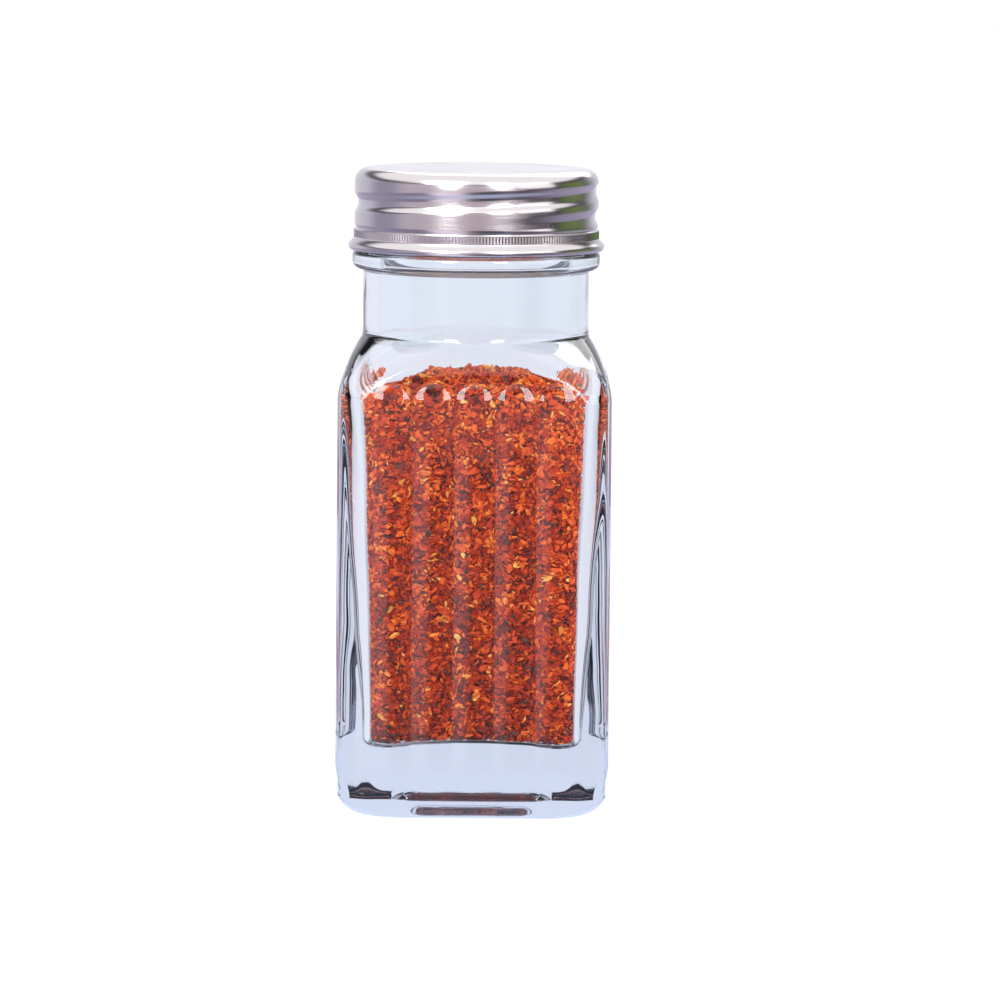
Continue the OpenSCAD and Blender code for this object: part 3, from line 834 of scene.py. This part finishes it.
studio = {
    "floorSize": 24.0, "floorDrop": 0.05, "floorColour": "#F4F4F4",
    "glowShare": 0.82, "glow": 1.12, "seenShare": 0.95,  # how much of the paper's look is its own glow
    "light": 0.6, "litGlow": 3.15, "sheetGlow": 2.5,
    # in metres from the jar: the sheet of paper ends, the reflection of the paper right beside the jar gives
    # way to the list below, and the jar's own shade ends
    "sheetR": 0.55, "sheetFade": 0.15, "nearJar": "#98A2BE", "nearFrom": 0.05, "nearTo": 0.12,
    "underJar": "#3C3840", "underFrom": 0.02, "underTo": 0.09,
    # brightness of the ceiling, colour of the dark gap that it ends at, and where they begin, as height over
    # distance
    "ceiling": 1.4, "ceilingFrom": 0.48, "ceilingTo": 0.56, "gap": "#4A4450", "gapFrom": 0.3, "gapTo": 0.4,
    # what polished surfaces mirror of the room, by direction, in degrees to the right of the front
    "room": [(-180, "#F8F8FF"), (-125, "#E6E6F4"), (-108, "#B4B0C6"), (-88, "#B4B0C6"), (-70, "#E4DCE8"),
             (-42, "#E0D4DE"), (-33, "#FFFFFF"), (-24, "#E0D2DC"), (0, "#DCCCD6"), (24, "#DCD0DA"),
             (32, "#FFFFFF"), (42, "#C6BAC4"), (52, "#463C46"), (84, "#403A40"), (92, "#6A7E46"),
             (112, "#7E9852"), (128, "#747C6C"), (150, "#E0E0EC"), (180, "#F8F8FF")],
    # the same for the paper that the jar stands on
    "sheet": [(-180, "#8C889C"), (-90, "#6C687C"), (-50, "#5C5868"), (-38, "#C4BCC8"), (-30, "#C4BCC8"),
              (-14, "#B4ACB4"), (-5, "#4C464A"), (4, "#2A282C"), (24, "#2E2A34"), (33, "#5A5468"),
              (40, "#38343A"), (52, "#38343A"), (90, "#6C687C"), (180, "#8C889C")],
    # what is seen through the glass, by direction: pale behind the jar, dark in front of it
    "through": [(-180, "#F0F3FF"), (-95, "#F0F3FF"), (-70, "#8C8694"), (-50, "#5C5868"), (-35, "#A49CA8"),
                (-10, "#403A3E"), (0, "#2A282C"), (24, "#2E2A34"), (50, "#38343A"), (70, "#8C8694"),
                (95, "#F0F3FF"), (180, "#F0F3FF")],
    # the same for rays that went through both walls of the jar, as in the neck
    "across": [(-180, "#F0F3FF"), (-100, "#F0F3FF"), (-76, "#A09CAC"), (-58, "#D8DAE6"), (0, "#E4E7F2"),
               (58, "#D8DAE6"), (76, "#A09CAC"), (100, "#F0F3FF"), (180, "#F0F3FF")],
    # and for the light that reaches the contents through the glass
    "lit": [(-180, "#D0D0D8"), (-60, "#C0BCC4"), (-25, "#A09CA4"), (10, "#C0BCBE"), (25, "#FFFFFF"),
            (60, "#FFFFFF"), (80, "#C0BCC4"), (180, "#D0D0D8")],
}


def pathMix(tree, ray, other, seen, kind="shader"):
    # what one kind of ray meets instead of the rest, a shader or a colour
    share = addNode(tree, "ShaderNodeLightPath").outputs[ray]
    if kind == "shader":
        return addNode(tree, "ShaderNodeMixShader", {0: share, 1: other, 2: seen}).outputs[0]
    return addNode(tree, "ShaderNodeMix", {0: share, 6: other, 7: seen}, data_type="RGBA").outputs[2]


def byDirection(tree, vector, stops):
    # colour by the direction of a vector seen from above, from stops in degrees to the right of the front
    apart = addNode(tree, "ShaderNodeSeparateXYZ", {0: vector})
    back = addNode(tree, "ShaderNodeMath", {0: apart.outputs["Y"], 1: -1.0}, operation="MULTIPLY")
    turn = addNode(tree, "ShaderNodeMath", {0: apart.outputs["X"], 1: back.outputs[0]}, operation="ARCTAN2")
    share = addNode(tree, "ShaderNodeMath", {0: turn.outputs[0], 1: 1 / math.tau, 2: 0.5},
                    operation="MULTIPLY_ADD")
    ramp = addNode(tree, "ShaderNodeValToRGB", {"Fac": share.outputs[0]})
    paintRamp(ramp, [(0.5 + degrees / 360, colour) for degrees, colour in stops])
    return ramp.outputs["Color"]


def seenThrough(tree, vector):
    # what a ray that leaves the glass meets: two lists for rays that are seen, another for those that light
    # the contents, which see the paper in the jar's own shade
    path = addNode(tree, "ShaderNodeLightPath")
    lit = addNode(tree, "ShaderNodeMath", {0: path.outputs["Diffuse Depth"], 1: 0.5},
                  operation="GREATER_THAN")
    crossed = addNode(tree, "ShaderNodeMath", {0: path.outputs["Transmission Depth"], 1: 2.5},
                      operation="GREATER_THAN")
    around = addNode(tree, "ShaderNodeMix", {
        0: crossed.outputs[0], 6: byDirection(tree, vector, studio["through"]),
        7: byDirection(tree, vector, studio["across"])}, data_type="RGBA")
    away = addNode(tree, "ShaderNodeVectorMath", {0: vector}, operation="LENGTH")
    inTheOpen = addNode(tree, "ShaderNodeMapRange", {
        "Value": away.outputs["Value"], "From Min": studio["underFrom"], "From Max": studio["underTo"]})
    light = addNode(tree, "ShaderNodeMix", {
        0: inTheOpen.outputs[0], 6: linear(studio["underJar"]),
        7: byDirection(tree, vector, studio["lit"])}, data_type="RGBA")
    glow = addNode(tree, "ShaderNodeVectorMath", {0: light.outputs[2], "Scale": studio["litGlow"]},
                   operation="SCALE")
    return addNode(tree, "ShaderNodeMix", {0: lit.outputs[0], 6: around.outputs[2], 7: glow.outputs[0]},
                   data_type="RGBA").outputs[2]


def makeFloor():
    bm = bmesh.new()
    bmesh.ops.create_grid(bm, x_segments=2, y_segments=2, size=studio["floorSize"] / 2)
    bmesh.ops.translate(bm, vec=(0, 0, -studio["floorDrop"] * mm), verts=bm.verts)
    material, tree = newMaterial("studioPaper")
    place = addNode(tree, "ShaderNodeTexCoord").outputs["Object"]
    paper = addNode(tree, "ShaderNodeBsdfDiffuse", {"Color": linear(studio["floorColour"])}).outputs[0]

    def partGlow(colour, strength, share):
        glow = addNode(tree, "ShaderNodeEmission", {"Color": colour, "Strength": strength})
        return addNode(tree, "ShaderNodeMixShader", {0: share, 1: paper, 2: glow.outputs[0]}).outputs[0]

    backdrop = partGlow(linear("#FFFFFF"), studio["glow"], studio["glowShare"])
    through = partGlow(seenThrough(tree, place), 1.0, studio["seenShare"])
    # polished surfaces mirror only the sheet of paper round the jar, and the room beyond it
    away = addNode(tree, "ShaderNodeVectorMath", {0: place}, operation="LENGTH").outputs["Value"]
    apartFromJar = addNode(tree, "ShaderNodeMapRange", {
        "Value": away, "From Min": studio["nearFrom"], "From Max": studio["nearTo"]})
    sheet = addNode(tree, "ShaderNodeMix", {
        0: apartFromJar.outputs[0], 6: linear(studio["nearJar"]),
        7: byDirection(tree, place, studio["sheet"])}, data_type="RGBA")
    near = partGlow(sheet.outputs[2], studio["sheetGlow"], studio["seenShare"])
    beyond = addNode(tree, "ShaderNodeMapRange", {
        "Value": away, "From Min": studio["sheetR"], "From Max": studio["sheetR"] + studio["sheetFade"]})
    clear = addNode(tree, "ShaderNodeBsdfTransparent")
    mirrored = addNode(tree, "ShaderNodeMixShader", {0: beyond.outputs[0], 1: near, 2: clear.outputs[0]})
    # a ray through clear glass counts as glossy too, so transmission comes after it
    shader = pathMix(tree, "Is Glossy Ray", paper, mirrored.outputs[0])
    shader = pathMix(tree, "Is Transmission Ray", shader, through)
    shader = pathMix(tree, "Is Camera Ray", shader, backdrop)
    addNode(tree, "ShaderNodeOutputMaterial", {"Surface": shader})
    meshObject("studioFloor", bm, material, smooth=False)


def makeWorld():
    world = bpy.data.worlds.new("studio")
    bpy.context.scene.world = world
    world.use_nodes = True
    tree = world.node_tree
    tree.nodes.clear()
    direction = addNode(tree, "ShaderNodeTexCoord").outputs["Generated"]
    up = addNode(tree, "ShaderNodeSeparateXYZ", {0: direction}).outputs["Z"]
    colours = byDirection(tree, direction, studio["room"])
    for part, colour in (("gap", linear(studio["gap"])), ("ceiling", [studio["ceiling"]] * 3 + [1])):
        share = addNode(tree, "ShaderNodeMapRange", {
            "Value": up, "From Min": studio[part + "From"], "From Max": studio[part + "To"]})
        colours = addNode(tree, "ShaderNodeMix", {0: share.outputs[0], 6: colours, 7: colour},
                          data_type="RGBA").outputs[2]
    colour = pathMix(tree, "Is Glossy Ray", linear("#FBFBFF"), colours, "colour")
    colour = pathMix(tree, "Is Transmission Ray", colour, seenThrough(tree, direction), "colour")
    colour = pathMix(tree, "Is Camera Ray", colour, linear("#FFFFFF"), "colour")
    # what lights the jar is dimmer than what is seen
    path = addNode(tree, "ShaderNodeLightPath")
    strength = addNode(tree, "ShaderNodeMath", {
        0: path.outputs["Is Diffuse Ray"], 1: studio["light"] - 1.0, 2: 1.0}, operation="MULTIPLY_ADD")
    light = addNode(tree, "ShaderNodeBackground", {"Color": colour, "Strength": strength.outputs[0]})
    addNode(tree, "ShaderNodeOutputWorld", {"Surface": light.outputs["Background"]})


lampAim = (0, 0, 0.05)
lamps = {  # places and sizes in metres
    "key": {"at": (-0.55, -0.75, 0.85), "width": 0.6, "height": 0.6, "watts": 6.0},
    "fill": {"at": (0.85, -0.5, 0.45), "width": 0.7, "height": 0.7, "watts": 2.5},
    "rear": {"at": (0.2, 0.9, 0.8), "width": 0.8, "height": 0.8, "watts": 5.0},
    "leftCard": {"at": (-0.15, -0.33, 0.24), "width": 0.09, "height": 0.28, "watts": 0.75},
    "rightCard": {"at": (0.14, -0.33, 0.24), "width": 0.09, "height": 0.28, "watts": 0.75},
}


def makeLamps():
    for name, values in lamps.items():
        data = bpy.data.lights.new(name, "AREA")
        data.shape = "RECTANGLE"
        data.size = values["width"]
        data.size_y = values["height"]
        data.energy = values["watts"]
        lamp = bpy.data.objects.new(name, data)
        lamp.location = values["at"]
        aim = Vector(lampAim) - Vector(values["at"])
        lamp.rotation_euler = aim.to_track_quat("-Z", "Y").to_euler()
        lamp.visible_camera = False
        lamp.visible_transmission = False
        lamp.visible_diffuse = not name.endswith("Card")  # the cards are only there to be mirrored
        bpy.context.scene.collection.objects.link(lamp)


makeFloor()
makeWorld()
makeLamps()
bpy.context.scene.view_settings.view_transform = "Standard"
print("studio ready")

bpy.context.view_layer.update()
